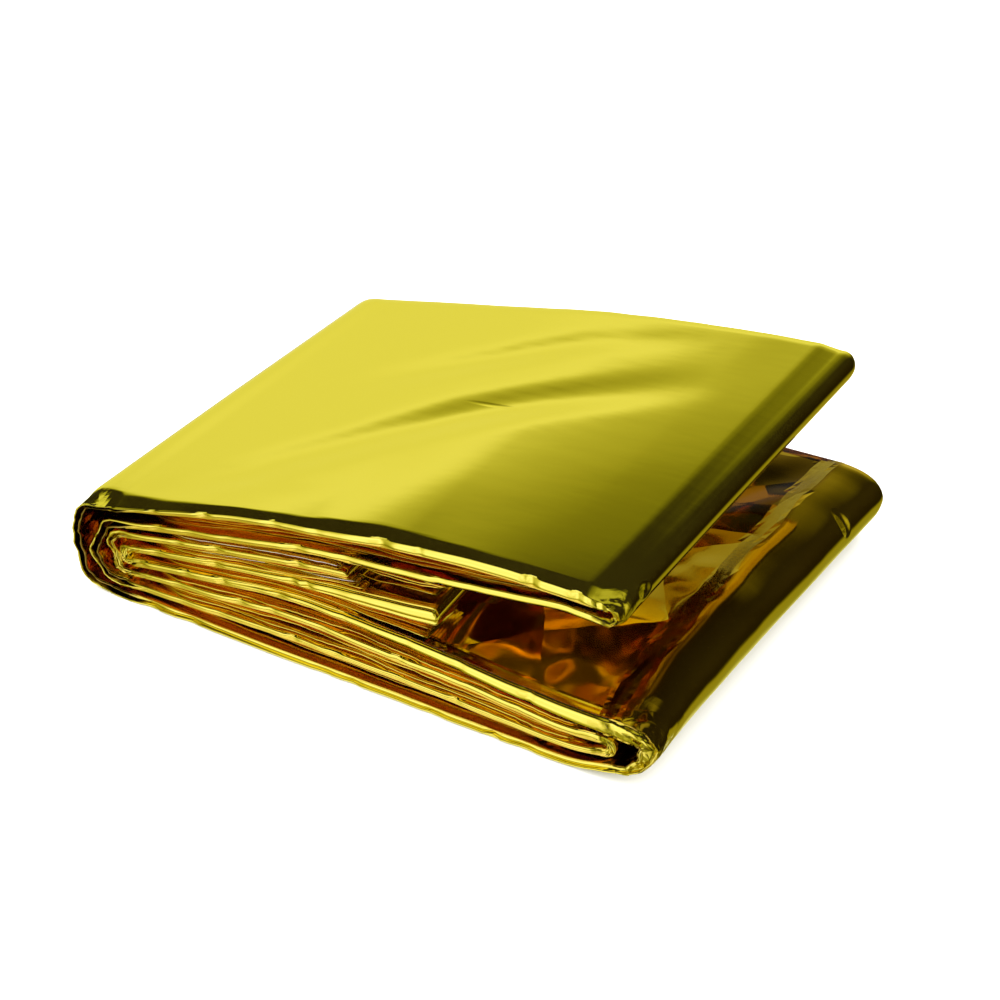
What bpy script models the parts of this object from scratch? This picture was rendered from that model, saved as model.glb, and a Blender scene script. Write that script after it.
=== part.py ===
"""Emergency foil blanket, folded to its packet, with the top flap lifted open.

The blanket is one sheet of metallised film. It was pleated to a strip as wide
as the packet, and the strip was then folded back and forth. Each panel of the
solid stands for one thickness of that pleated strip, and the panels are one
continuous section: free end, spine, pack, spine, lifted flap, spine, pack,
spine, free end. X runs along the packet from the spine to the open mouth, Y
from the front rim to the back rim, and Z up from the surface it lies on.
"""

import math

import bmesh
import bpy
from mathutils import Vector

MM = 0.001

# The packet, in mm
PACKET_DEPTH = 100.0  # front rim to back rim, the width of the pleated strip
END_STEP = 0.9  # last stretch of a free end, over which it thins
END_THINNING = 0.45  # thickness of the very edge, as a share of the strip's

# Panels from the top of the packet down
PANELS = ("flap_top", "flap_under", "inner_end", "outer_end", "pack_top", "pack_upper", "pack_lower", "base")

# Height of each panel's mid-line over the surface, in mm, along the front rim.
# Columns: x, then one for each of PANELS.
FRONT_HEIGHTS = (
    (-56.0, 20.6, 17.8, 15.05, 12.30, 9.45, 6.60, 3.85, 1.05),
    (-34.0, 27.0, 22.4, 19.20, 16.20, 12.90, 8.80, 5.00, 1.05),
    (-10.0, 32.3, 27.3, 23.30, 19.50, 15.60, 10.60, 5.80, 1.05),
    (12.0, 36.0, 29.9, 26.00, 21.60, 15.00, 9.90, 5.50, 1.05),
    (34.0, 37.3, 32.6, 28.50, 23.50, 13.00, 8.80, 4.90, 1.05),
    (44.0, 37.5, 33.8, 29.50, 24.00, 12.30, 8.20, 4.60, 1.05),
    (54.0, 37.6, 33.9, 30.00, 24.50, 12.20, 8.85, 6.10, 3.10),
)

# The same along the back rim.
BACK_HEIGHTS = (
    (-56.0, 22.0, 19.0, 16.10, 13.20, 10.20, 7.20, 4.20, 1.05),
    (-34.0, 25.5, 22.0, 18.90, 15.90, 12.70, 8.80, 5.00, 1.05),
    (-10.0, 29.2, 25.4, 21.90, 18.60, 15.20, 10.60, 5.80, 1.05),
    (12.0, 32.5, 28.6, 24.80, 21.00, 15.40, 10.40, 5.60, 1.05),
    (34.0, 35.9, 31.9, 28.00, 23.50, 14.00, 9.50, 5.30, 1.05),
    (44.0, 37.5, 33.7, 29.50, 25.00, 13.30, 9.00, 5.10, 1.05),
    (54.0, 39.0, 35.2, 31.00, 26.50, 12.80, 8.90, 5.30, 1.50),
)

# One row for each panel, in mm.
# Columns: panel, x at the spine, x at its other end at the front rim and at the
# back rim, thickness at the spine and at the other end, rise of its middle
# above both rims, how far its rim stands in from the packet's.
PANEL_ROWS = (
    ("flap_top", -56.0, 52.6, 52.8, 2.0, 2.4, 0.5, 0.0),
    ("flap_under", -56.6, 52.6, 52.8, 2.0, 2.2, 0.2, 0.3),
    ("inner_end", -55.4, -2.0, -8.0, 2.0, 2.0, 0.0, 0.8),
    ("outer_end", -53.4, 17.5, 10.0, 2.0, 2.4, 0.0, 0.4),
    ("pack_top", -53.4, 54.5, 56.6, 2.2, 3.0, 1.9, 0.0),
    ("pack_upper", -55.4, 51.5, 52.5, 2.0, 2.3, 1.1, 0.5),
    ("pack_lower", -56.6, 51.5, 52.5, 2.0, 2.0, 0.4, 0.3),
    ("base", -56.0, 54.5, 56.6, 2.1, 2.1, 0.0, 0.2),
)

# How much of that rise is there. Columns: x, share.
CROWN_OPENING = ((-22.0, 0.0), (8.0, 0.45), (36.0, 1.0))

# The folds that join the panels, in the order of the strip. Columns: panel it
# leaves, panel it enters, reach beyond the panels' ends at the front rim and at
# the back rim, in mm, and the outline it takes.
FOLD_ROWS = (
    ("inner_end", "pack_upper", 3.1, 2.4, "creased"),
    ("pack_upper", "pack_lower", 2.2, 2.4, "round"),
    ("pack_lower", "flap_under", 5.9, 4.8, "creased"),
    ("flap_under", "flap_top", 1.7, 1.7, "round"),
    ("flap_top", "base", 10.4, 9.0, "creased"),
    ("base", "pack_top", 5.0, 6.4, "plump"),
    ("pack_top", "outer_end", 1.4, 1.4, "round"),
)

# Outlines of a fold. Columns: share of the way from one panel to the next,
# share of the reach.
FOLD_OUTLINES = {
    "round": ((0.0, 0.0), (0.07, 0.50), (0.25, 0.87), (0.5, 1.0), (0.75, 0.87), (0.93, 0.50), (1.0, 0.0)),
    "creased": (
        (0.0, 0.0),
        (0.02, 0.60),
        (0.09, 0.79),
        (0.44, 1.0),
        (0.82, 0.86),
        (0.91, 0.79),
        (0.98, 0.48),
        (1.0, 0.0),
    ),
    "plump": (
        (0.0, 0.0),
        (0.05, 0.52),
        (0.22, 0.90),
        (0.45, 1.0),
        (0.68, 0.93),
        (0.88, 0.62),
        (0.97, 0.30),
        (1.0, 0.0),
    ),
}

# Soft troughs and ridges, in mm. Columns: panel, x and y of one end, x and y of
# the other, half width, depth (a ridge is negative).
CREASE_ROWS = (
    ("flap_top", -46.0, -26.0, 20.0, -2.0, 8.0, 0.55),
    ("flap_top", -40.0, -6.0, 24.0, 8.0, 7.0, -0.45),
    ("flap_top", -26.0, 10.0, 22.0, 16.0, 7.0, 0.40),
    ("flap_under", -30.0, -20.0, 40.0, 10.0, 10.0, -0.30),
    ("pack_top", 22.0, -40.0, 48.0, 6.0, 7.0, 0.70),
    ("pack_top", 34.0, 12.0, 52.0, 44.0, 8.0, 0.60),
    ("pack_top", 52.0, -44.0, 57.0, 10.0, 5.0, -0.80),
    ("pack_top", 8.0, 20.0, 40.0, 30.0, 7.0, -0.50),
)

CREASE_END_SHARE = 0.1  # a crease fades in and out over this share of a half wave at its ends

# The front rim's profile gives way to the back rim's as this power of the way across.
ARCH_FADE = 0.8

# Rims wander in and out a little, in mm along Y, over a length along the strip.
RIM_WANDER = 0.35
RIM_WAVELENGTH = 47.0

# How finely the strip is divided
PANEL_STEP = 6.3
FOLD_STEPS = 11
RIM_STEPS = 3
CROSS_SHARES = (-1.0, -0.86, -0.64, -0.40, -0.16, 0.08, 0.32, 0.56, 0.78, 0.92, 1.0)

FOIL_COLOUR = (0.83, 0.62, 0.05, 1.0)
FOIL_ROUGHNESS = 0.22
SMOOTH_ANGLE = math.radians(60)


def column(rows, key, index):
    """Value of a column in the row that starts with key."""
    for row in rows:
        if row[0] == key:
            return row[index]
    raise KeyError(key)


def mix(first, second, share):
    return first + (second - first) * share


def smooth_between(knots, at):
    """Value at a place on a smooth curve through (place, value) knots, with no overshoot."""
    places = [knot[0] for knot in knots]
    values = [knot[1] for knot in knots]
    slopes = [(values[i + 1] - values[i]) / (places[i + 1] - places[i]) for i in range(len(knots) - 1)]
    tangents = [slopes[0]]
    for before, after in zip(slopes, slopes[1:]):
        steady = before * after > 0
        tangents.append(2 * before * after / (before + after) if steady else 0.0)
    tangents.append(slopes[-1])
    if at <= places[0]:
        return values[0] + tangents[0] * (at - places[0])
    if at >= places[-1]:
        return values[-1] + tangents[-1] * (at - places[-1])
    i = max(index for index in range(len(places) - 1) if places[index] <= at)
    span = places[i + 1] - places[i]
    t = (at - places[i]) / span
    rise = (2 * t**3 - 3 * t**2 + 1) * values[i] + (3 * t**2 - 2 * t**3) * values[i + 1]
    turn = (t**3 - 2 * t**2 + t) * tangents[i] + (t**3 - t**2) * tangents[i + 1]
    return rise + span * turn


def bell(distance, half_width):
    """1 on a crease's line, falling smoothly to 0 at its half width."""
    share = min(distance / half_width, 1.0)
    return (1 + math.cos(math.pi * share)) / 2


def crease_drop(panel, x, y):
    """How far the creases lower a point of a panel."""
    drop = 0.0
    for name, x0, y0, x1, y1, half_width, depth in CREASE_ROWS:
        if name != panel:
            continue
        along = Vector((x1 - x0, y1 - y0))
        share = Vector((x - x0, y - y0)).dot(along) / along.length_squared
        share = min(max(share, 0.0), 1.0)
        nearest = Vector((x0, y0)) + along * share
        fade = math.sin(math.pi * (CREASE_END_SHARE + (1 - 2 * CREASE_END_SHARE) * share))
        drop += depth * fade * bell((Vector((x, y)) - nearest).length, half_width)
    return drop


def height(panel, x, cross):
    """Height of a panel's mid-line at x, where cross is -1 at the front rim and 1 at the back."""
    index = 1 + PANELS.index(panel)
    front = smooth_between([(row[0], row[index]) for row in FRONT_HEIGHTS], x)
    back = smooth_between([(row[0], row[index]) for row in BACK_HEIGHTS], x)
    from_front = ((1 + cross) / 2) ** ARCH_FADE
    crown = column(PANEL_ROWS, panel, 6) * (1 - cross**2)
    opening = smooth_between(CROWN_OPENING, min(max(x, CROWN_OPENING[0][0]), CROWN_OPENING[-1][0]))
    y = cross * PACKET_DEPTH / 2
    return mix(front, back, from_front) + crown * opening - crease_drop(panel, x, y)


def panel_end(panel, cross, outer):
    """x of a panel's end: at the spine, or at the mouth if outer is true."""
    if not outer:
        return column(PANEL_ROWS, panel, 1)
    return mix(column(PANEL_ROWS, panel, 2), column(PANEL_ROWS, panel, 3), (1 + cross) / 2)


def panel_stations(panel, cross, to_mouth, steps):
    """Stations (x, z, thickness, inset) along a panel, from one end to the other."""
    near = panel_end(panel, cross, False)
    far = panel_end(panel, cross, True)
    stations = []
    for step in range(steps + 1):
        share = step / steps if to_mouth else 1 - step / steps
        x = mix(near, far, share)
        thickness = mix(column(PANEL_ROWS, panel, 4), column(PANEL_ROWS, panel, 5), share)
        stations.append((x, height(panel, x, cross), thickness, column(PANEL_ROWS, panel, 7)))
    return stations


def fold_stations(fold, start, end, cross, to_mouth):
    """Stations round a fold, between the last station of one panel and the first of the next."""
    _, _, reach_front, reach_back, outline = fold
    reach = mix(reach_front, reach_back, (1 + cross) / 2) * (1 if to_mouth else -1)
    rows = FOLD_OUTLINES[outline]
    # The curve is read by its length, so that its points stand evenly round the bend.
    lengths = [0.0]
    for a, b in zip(rows, rows[1:]):
        run = Vector(((b[0] - a[0]) * (end[1] - start[1]), (b[1] - a[1]) * reach)).length
        lengths.append(lengths[-1] + run)
    stations = []
    for step in range(1, FOLD_STEPS):
        at = lengths[-1] * step / FOLD_STEPS
        way = smooth_between([(length, row[0]) for length, row in zip(lengths, rows)], at)
        out = smooth_between([(length, row[1]) for length, row in zip(lengths, rows)], at)
        x = mix(start[0], end[0], way) + reach * out
        z = mix(start[1], end[1], way)
        stations.append((x, z, mix(start[2], end[2], way), mix(start[3], end[3], way)))
    return stations


def strip_section(cross):
    """The strip's whole mid-line at one place across the packet, as stations from end to end."""
    order = [FOLD_ROWS[0][0]] + [fold[1] for fold in FOLD_ROWS]
    stations = []
    for place, panel in enumerate(order):
        to_mouth = place % 2 == 1
        length = column(PANEL_ROWS, panel, 2) - column(PANEL_ROWS, panel, 1)
        run = panel_stations(panel, cross, to_mouth, round(length / PANEL_STEP))
        if place:
            stations += fold_stations(FOLD_ROWS[place - 1], stations[-1], run[0], cross, not to_mouth)
        stations += run
    for index, toward in ((0, 1), (-1, -2)):
        x, z, thickness, inset = stations[index]
        beside = stations[toward]
        outward = Vector((x - beside[0], z - beside[1])).normalized() * END_STEP
        edge = (x + outward.x, z + outward.y, thickness * END_THINNING, inset)
        stations.insert(0 if index == 0 else len(stations), edge)
    return stations


def section_normals(stations):
    """Unit vectors across the strip, in the plane of its section."""
    normals = []
    last = len(stations) - 1
    for index in range(len(stations)):
        before = stations[max(index - 1, 0)]
        after = stations[min(index + 1, last)]
        along = Vector((after[0] - before[0], after[1] - before[1])).normalized()
        normals.append(Vector((-along.y, along.x)))
    return normals


def surface_point(station, normal, y, side):
    """A point of the skin: side is 1 on one face, -1 on the other and 0 on the mid-line."""
    x, z, thickness, _ = station
    offset = normal * (side * thickness / 2)
    return Vector((x + offset.x, y, z + offset.y)) * MM


def ring_points(index, sections, normals):
    """The closed loop of skin points round the strip at one station."""
    wander = RIM_WANDER * math.sin(2 * math.pi * index * PANEL_STEP / RIM_WAVELENGTH)
    points = []
    for rim, side in ((1, 1), (-1, -1)):
        rows = range(len(CROSS_SHARES)) if rim == 1 else reversed(range(len(CROSS_SHARES)))
        for row in rows:
            station = sections[row][index]
            half = PACKET_DEPTH / 2 - station[3] - station[2] / 2 - RIM_WANDER + wander
            points.append(surface_point(station, normals[row][index], CROSS_SHARES[row] * half, side))
        edge = len(CROSS_SHARES) - 1 if rim == 1 else 0
        station = sections[edge][index]
        half = PACKET_DEPTH / 2 - station[3] - station[2] / 2 - RIM_WANDER + wander
        for step in range(1, RIM_STEPS + 1):
            angle = math.pi * step / (RIM_STEPS + 1)
            y = rim * (half + math.sin(angle) * station[2] / 2)
            points.append(surface_point(station, normals[edge][index], y, side * math.cos(angle)))
    return points


def foil_material():
    """Gold metallised film."""
    material = bpy.data.materials.new("gold_foil")
    material.use_nodes = True
    shader = material.node_tree.nodes["Principled BSDF"]
    shader.inputs["Base Color"].default_value = FOIL_COLOUR
    shader.inputs["Metallic"].default_value = 1.0
    shader.inputs["Roughness"].default_value = FOIL_ROUGHNESS
    material.diffuse_color = FOIL_COLOUR
    return material


def build_blanket():
    """The folded sheet, as one closed body."""
    sections = [strip_section(cross) for cross in CROSS_SHARES]
    normals = [section_normals(stations) for stations in sections]
    work = bmesh.new()
    rings = []
    for index in range(len(sections[0])):
        rings.append([work.verts.new(point) for point in ring_points(index, sections, normals)])
    for ring, following in zip(rings, rings[1:]):
        count = len(ring)
        for i in range(count):
            j = (i + 1) % count
            work.faces.new((ring[i], ring[j], following[j], following[i]))
    work.faces.new(list(reversed(rings[0])))
    work.faces.new(rings[-1])
    bmesh.ops.recalc_face_normals(work, faces=work.faces)
    low = Vector(min(vert.co[axis] for vert in work.verts) for axis in range(3))
    high = Vector(max(vert.co[axis] for vert in work.verts) for axis in range(3))
    middle = Vector(((low.x + high.x) / 2, (low.y + high.y) / 2, low.z))
    bmesh.ops.translate(work, verts=work.verts, vec=-middle)
    mesh = bpy.data.meshes.new("foil_blanket")
    work.to_mesh(mesh)
    work.free()
    mesh.materials.append(foil_material())
    mesh.shade_smooth()
    mesh.set_sharp_from_angle(angle=SMOOTH_ANGLE)
    blanket = bpy.data.objects.new("foil_blanket", mesh)
    bpy.context.scene.collection.objects.link(blanket)
    return blanket


def main():
    for startup_object in list(bpy.data.objects):
        bpy.data.objects.remove(startup_object)
    build_blanket()


main()
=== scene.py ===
"""Emergency foil blanket, folded to its packet, with the top flap lifted open.

The blanket is one sheet of gold metallised film, pleated to a strip as wide as
the packet and then folded back and forth. One mesh follows that strip from end
to end, and a second holds the single plies that fan out between its panels. X
runs along the packet from the spine to the open mouth, Y from the front rim to
the back rim, and Z up from the surface it lies on. Sizes are in millimetres
unless a name says otherwise.
"""

import logging
import math
from dataclasses import dataclass, field
from enum import Enum
from typing import Sequence

import bpy
import numpy as np
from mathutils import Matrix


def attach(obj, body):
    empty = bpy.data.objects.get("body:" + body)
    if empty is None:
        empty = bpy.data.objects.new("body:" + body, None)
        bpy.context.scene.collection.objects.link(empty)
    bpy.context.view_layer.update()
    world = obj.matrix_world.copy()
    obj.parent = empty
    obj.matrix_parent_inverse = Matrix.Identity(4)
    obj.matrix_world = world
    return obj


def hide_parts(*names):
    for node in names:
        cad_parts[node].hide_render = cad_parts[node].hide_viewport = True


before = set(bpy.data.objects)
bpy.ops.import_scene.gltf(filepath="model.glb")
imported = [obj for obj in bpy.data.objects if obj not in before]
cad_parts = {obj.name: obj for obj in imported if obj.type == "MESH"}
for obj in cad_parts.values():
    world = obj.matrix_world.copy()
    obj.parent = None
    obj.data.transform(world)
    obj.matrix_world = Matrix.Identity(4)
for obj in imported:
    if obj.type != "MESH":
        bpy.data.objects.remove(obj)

LOG = logging.getLogger("foil_blanket")
MM = 0.001

# Place of the packet's own x = 0 in the frame, whose middle is the bounding box's
FRAME_SHIFT = 1.55


def mix(first, second, share):
    """Value between two, at a share of the way.

    Args:
        first: Value at share 0.
        second: Value at share 1.
        share: Share of the way, a number or an array.

    Returns:
        The value there.
    """
    return first + (second - first) * share


def ease(low: float, high: float, value):
    """Smooth step from 0 at low to 1 at high.

    Args:
        low: Where the step starts.
        high: Where it ends.
        value: Where it is read, a number or an array.

    Returns:
        The step's height there.
    """
    share = np.clip((np.asarray(value, float) - low) / (high - low), 0.0, 1.0)
    return share * share * (3 - 2 * share)


def smooth_through(places: Sequence[float], values: Sequence[float], at: np.ndarray) -> np.ndarray:
    """Smooth curve through knots, with no overshoot and straight ends.

    Args:
        places: Knot places, rising.
        values: Knot values.
        at: Where the curve is read.

    Returns:
        The curve's values there.
    """
    x = np.asarray(places, float)
    v = np.asarray(values, float)
    at = np.asarray(at, float)
    slope = np.diff(v) / np.diff(x)
    both = slope[:-1] * slope[1:]
    total = slope[:-1] + slope[1:]
    inner = np.where(both > 0, 2 * both / np.where(np.abs(total) < 1e-12, 1, total), 0.0)
    tangent = np.concatenate([slope[:1], inner, slope[-1:]])
    i = np.clip(np.searchsorted(x, at, side="right") - 1, 0, len(x) - 2)
    span = x[i + 1] - x[i]
    t = (at - x[i]) / span
    body = (2 * t**3 - 3 * t**2 + 1) * v[i] + (3 * t**2 - 2 * t**3) * v[i + 1]
    turn = (t**3 - 2 * t**2 + t) * tangent[i] + (t**3 - t**2) * tangent[i + 1]
    curve = body + span * turn
    curve = np.where(at < x[0], v[0] + tangent[0] * (at - x[0]), curve)
    return np.where(at > x[-1], v[-1] + tangent[-1] * (at - x[-1]), curve)


def ripple(x: np.ndarray, y: np.ndarray, length: float, seed: int) -> np.ndarray:
    """Gentle unevenness between about -1 and 1, made of a few crossing waves.

    Args:
        x: First coordinate.
        y: Second coordinate.
        length: Typical wavelength.
        seed: Picks another set of waves.

    Returns:
        The unevenness at each point.
    """
    chance = np.random.default_rng(seed)
    total = 0.0
    waves = 6
    for _ in range(waves):
        angle = chance.uniform(0, math.pi)
        wave = length * chance.uniform(0.6, 1.7)
        phase = chance.uniform(0, 2 * math.pi)
        along = x * math.cos(angle) + y * math.sin(angle)
        total = total + np.sin(2 * math.pi * along / wave + phase)
    return total / math.sqrt(2 * waves)


def facets(x: np.ndarray, y: np.ndarray, cell: float, seed: int) -> np.ndarray:
    """Flat facets with sharp ridges between them, from 0 at their low points to about 1.

    Args:
        x: First coordinate.
        y: Second coordinate.
        cell: Typical size of a facet.
        seed: Picks another set.

    Returns:
        The height at each point.
    """
    chance = np.random.default_rng(seed)
    column = np.floor(x / cell).astype(int)
    row = np.floor(y / cell).astype(int)
    size = 64
    jitter = chance.uniform(0.1, 0.9, (size, size, 2))
    turn = chance.uniform(0, math.pi / 2, (size, size))
    nearest = np.full(np.shape(x), np.inf)
    for i in (-1, 0, 1):
        for j in (-1, 0, 1):
            a = (column + i) % size
            b = (row + j) % size
            dx = x / cell - (column + i + jitter[a, b, 0])
            dy = y / cell - (row + j + jitter[a, b, 1])
            c = np.cos(turn[a, b])
            s = np.sin(turn[a, b])
            far = np.maximum(np.abs(c * dx + s * dy), np.abs(c * dy - s * dx))
            nearest = np.minimum(nearest, far)
    return nearest


@dataclass(frozen=True)
class Rim:
    """Outline of a strip's edge, as three lobes across its thickness.

    Attributes:
        heights: Height of each lobe, as a share of the thickness, upper lobe first.
        bulges: How far each lobe bulges outward; a hollow is negative.
        insets: How far the foot of each lobe stands in from the rim line.
    """

    heights: tuple[float, float, float]
    bulges: tuple[float, float, float]
    insets: tuple[float, float, float]

    def numbers(self, flipped: bool) -> np.ndarray:
        """The nine numbers as rows, with the lower lobe first if flipped."""
        rows = np.array([self.heights, self.bulges, self.insets], float)
        return rows[:, ::-1] if flipped else rows


ROUND_RIM = Rim((0.34, 0.33, 0.33), (0.55, 0.40, 0.55), (0.0, 0.35, 0.0))
CHANNEL_RIM = Rim((0.24, 0.52, 0.24), (0.35, -2.8, 0.35), (0.0, 0.1, 0.0))


@dataclass(frozen=True)
class Panel:
    """One flat run of the strip between two folds.

    Attributes:
        name: The panel's name.
        spine: x of its end at the spine.
        mouth_front: x of its other end at the front rim.
        mouth_back: The same at the back rim.
        thick_spine: Thickness at the spine.
        thick_mouth: Thickness at the other end.
        crown: Rise of its middle over both rims.
        inset: How far its rim stands in from the packet's.
        front: Heights of its mid-line along the front rim, at KNOTS.
        back: Heights along the back rim.
        rim_spine: Outline of its front rim near the spine.
        rim_mouth: Outline near the other end.
        painted_bounce_amber_top: Share of painted reflection tint on its upper face, standing in for light bounced
            between the folds, from 0 to 1.
        painted_bounce_amber_under: The same for its lower face.
        step: Length of one division along it.
        swells_from: Share of its length where it starts to thicken.
    """

    name: str
    spine: float
    mouth_front: float
    mouth_back: float
    thick_spine: float
    thick_mouth: float
    crown: float
    inset: float
    front: tuple[float, ...]
    back: tuple[float, ...]
    rim_spine: Rim
    rim_mouth: Rim
    painted_bounce_amber_top: float
    painted_bounce_amber_under: float
    step: float
    swells_from: float = 0.0

    def thickness(self, share: np.ndarray) -> np.ndarray:
        """Its thickness at shares of its length."""
        return mix(self.thick_spine, self.thick_mouth, ease(self.swells_from - 0.2, 1.1, share))


# Places along x of the height columns
KNOTS = (-56.0, -34.0, -10.0, 12.0, 34.0, 44.0, 54.0)

INNER_END, PACK_UPPER, PACK_LOWER, FLAP_UNDER, FLAP_TOP, BASE, PACK_TOP, OUTER_END = range(8)

# In the order of the strip, from its inner free end to its outer one
PANELS = (
    Panel(
        "inner_end", -55.4, -2.0, -8.0, 2.0, 2.0, 0.0, 0.8,
        (15.05, 19.20, 23.30, 26.00, 28.50, 29.50, 30.00),
        (16.10, 18.90, 21.90, 24.80, 28.00, 29.50, 31.00),
        Rim((0.62, 0.22, 0.16), (0.40, 0.30, 0.30), (0.0, 0.6, 1.0)),
        Rim((0.70, 0.30, 0.20), (0.40, 0.35, 0.30), (0.0, 0.7, 1.0)),
        0.7, 0.7, 1.2,
    ),
    Panel(
        "pack_upper", -55.4, 51.5, 52.5, 2.0, 2.3, 1.1, 0.5,
        (6.60, 8.80, 10.60, 9.90, 8.80, 8.20, 8.85),
        (7.20, 8.80, 10.60, 10.40, 9.50, 9.00, 8.90),
        Rim((0.50, 0.30, 0.20), (0.40, 0.35, 0.30), (0.0, 0.5, 0.9)),
        Rim((0.66, 0.22, 0.12), (0.40, 0.30, 0.20), (0.0, 0.5, 0.9)),
        0.6, 0.6, 1.5,
    ),
    Panel(
        "pack_lower", -56.6, 51.5, 52.5, 2.0, 2.0, 0.4, 0.3,
        (3.85, 5.00, 5.80, 5.50, 4.90, 4.60, 6.10),
        (4.20, 5.00, 5.80, 5.60, 5.30, 5.10, 5.30),
        Rim((0.50, 0.30, 0.20), (0.35, 0.30, 0.30), (0.0, 0.5, 1.2)),
        Rim((0.44, 0.36, 0.20), (0.35, 0.35, 0.30), (0.0, 0.2, 1.0)),
        0.6, 0.6, 1.5,
    ),
    Panel(
        "flap_under", -56.6, 52.6, 53.6, 2.0, 2.3, 0.2, 0.3,
        (17.8, 22.4, 27.3, 29.9, 32.6, 33.8, 33.9),
        (19.8, 23.2, 26.8, 30.0, 33.0, 34.6, 35.6),
        Rim((0.48, 0.30, 0.22), (0.35, 0.30, 0.25), (0.0, 0.6, 1.2)),
        Rim((0.86, 0.08, 0.06), (0.40, 0.15, 0.10), (0.0, 0.3, 0.5)),
        0.7, 0.8, 1.6,
    ),
    Panel(
        "flap_top", -56.0, 52.6, 53.6, 2.0, 2.5, 0.3, 0.0,
        (21.6, 27.0, 32.6, 36.4, 37.5, 37.6, 37.65),
        (23.0, 27.4, 32.0, 35.5, 38.1, 39.1, 40.1),
        Rim((0.46, 0.24, 0.30), (0.25, 0.25, 0.30), (0.0, 1.2, 1.8)),
        Rim((0.86, 0.08, 0.06), (0.40, 0.15, 0.10), (0.0, 0.3, 0.5)),
        0.0, 0.7, 0.8,
    ),
    Panel(
        "base", -56.0, 54.5, 56.0, 2.1, 2.1, 0.0, 0.2,
        (1.05, 1.05, 1.05, 1.05, 1.05, 1.05, 3.10),
        (1.05, 1.05, 1.05, 1.05, 1.05, 1.05, 1.50),
        Rim((0.56, 0.14, 0.30), (0.30, 0.10, 0.30), (0.5, 1.4, 0.0)),
        Rim((0.50, 0.20, 0.30), (0.30, 0.10, 0.30), (0.3, 1.2, 0.0)),
        0.6, 0.0, 1.9,
    ),
    Panel(
        "pack_top", -53.4, 54.5, 56.6, 2.2, 4.5, 1.9, 0.0,
        (9.45, 12.90, 15.60, 15.00, 13.00, 12.30, 12.20),
        (10.20, 12.70, 15.20, 15.40, 13.70, 12.80, 12.90),
        Rim((0.56, 0.26, 0.18), (0.40, 0.30, 0.25), (0.0, 0.6, 1.0)),
        Rim((0.07, 0.80, 0.13), (0.12, 0.70, 0.30), (0.8, 0.0, 0.8)),
        0.6, 0.6, 0.95, 0.45,
    ),
    Panel(
        "outer_end", -53.4, 17.5, 10.0, 2.0, 4.3, 0.0, 0.4,
        (12.30, 16.20, 19.50, 21.60, 23.50, 24.00, 24.50),
        (13.20, 15.90, 18.60, 21.00, 23.50, 25.00, 26.50),
        Rim((0.52, 0.30, 0.18), (0.40, 0.30, 0.30), (0.0, 0.5, 0.9)),
        Rim((0.08, 0.64, 0.28), (0.15, 0.60, 0.45), (0.5, 0.0, 0.25)),
        0.7, 0.7, 1.1, 0.55,
    ),
)


class Bend(Enum):
    """Outlines of a fold, as rows of share of the way and share of the reach."""

    ROUND = ((0.0, 0.0), (0.07, 0.50), (0.25, 0.87), (0.5, 1.0), (0.75, 0.87), (0.93, 0.50), (1.0, 0.0))
    PLUMP = (
        (0.0, 0.0), (0.05, 0.35), (0.22, 0.73), (0.45, 0.95), (0.66, 1.0), (0.86, 0.82), (0.96, 0.44), (1.0, 0.0),
    )
    OUTER_SPINE = (
        (0.0, 0.0), (0.035, 0.42), (0.07, 0.69), (0.18, 0.83), (0.42, 1.0), (0.89, 0.88), (0.97, 0.50), (1.0, 0.0),
    )
    MIDDLE_SPINE = ((0.0, 0.0), (0.05, 0.50), (0.38, 1.0), (0.66, 0.66), (0.94, 0.30), (1.0, 0.0))
    INNER_SPINE = ((0.0, 0.0), (0.07, 0.55), (0.32, 1.0), (0.60, 0.72), (0.93, 0.45), (1.0, 0.0))

    @property
    def kinked(self) -> bool:
        """Whether it runs in straight stretches with kinks between them."""
        return self.name.endswith("SPINE")


@dataclass(frozen=True)
class Fold:
    """The bend between two panels that follow each other in the strip.

    Attributes:
        front: Reach beyond the panels' ends at the front rim.
        back: Reach at the back rim.
        bend: The outline it takes.
        steps: Divisions round it.
        hollow: How far its front rim opens to a hollow channel, from 0 to 1.
    """

    front: float
    back: float
    bend: Bend
    steps: int
    hollow: float = 0.0


# One for each step from a panel to the next
FOLDS = (
    Fold(3.1, 2.4, Bend.INNER_SPINE, 16, 0.35),
    Fold(2.2, 2.4, Bend.ROUND, 14),
    Fold(5.9, 4.8, Bend.MIDDLE_SPINE, 22, 1.0),
    Fold(1.7, 1.7, Bend.ROUND, 16),
    Fold(10.4, 9.8, Bend.OUTER_SPINE, 34, 1.0),
    Fold(5.6, 7.6, Bend.PLUMP, 28),
    Fold(1.4, 1.4, Bend.ROUND, 12),
)


@dataclass(frozen=True)
class Crease:
    """A soft trough, or a ridge where its depth is negative.

    Attributes:
        panel: Name of the panel it is pressed into.
        start: x and y of one end.
        end: x and y of the other.
        half: Half its width.
        depth: Its depth.
    """

    panel: str
    start: tuple[float, float]
    end: tuple[float, float]
    half: float
    depth: float

    def drop(self, x: np.ndarray, y: np.ndarray) -> np.ndarray:
        """How far it lowers the points of its panel.

        Args:
            x: Places along the packet.
            y: Places across it.

        Returns:
            The drop at each.
        """
        run = np.subtract(self.end, self.start)
        share = ((x - self.start[0]) * run[0] + (y - self.start[1]) * run[1]) / (run @ run)
        share = np.clip(share, 0.0, 1.0)
        away = np.hypot(x - self.start[0] - run[0] * share, y - self.start[1] - run[1] * share)
        fade = np.sin(math.pi * (0.1 + 0.8 * share))
        return self.depth * fade * (1 + np.cos(math.pi * np.minimum(away / self.half, 1.0))) / 2


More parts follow.
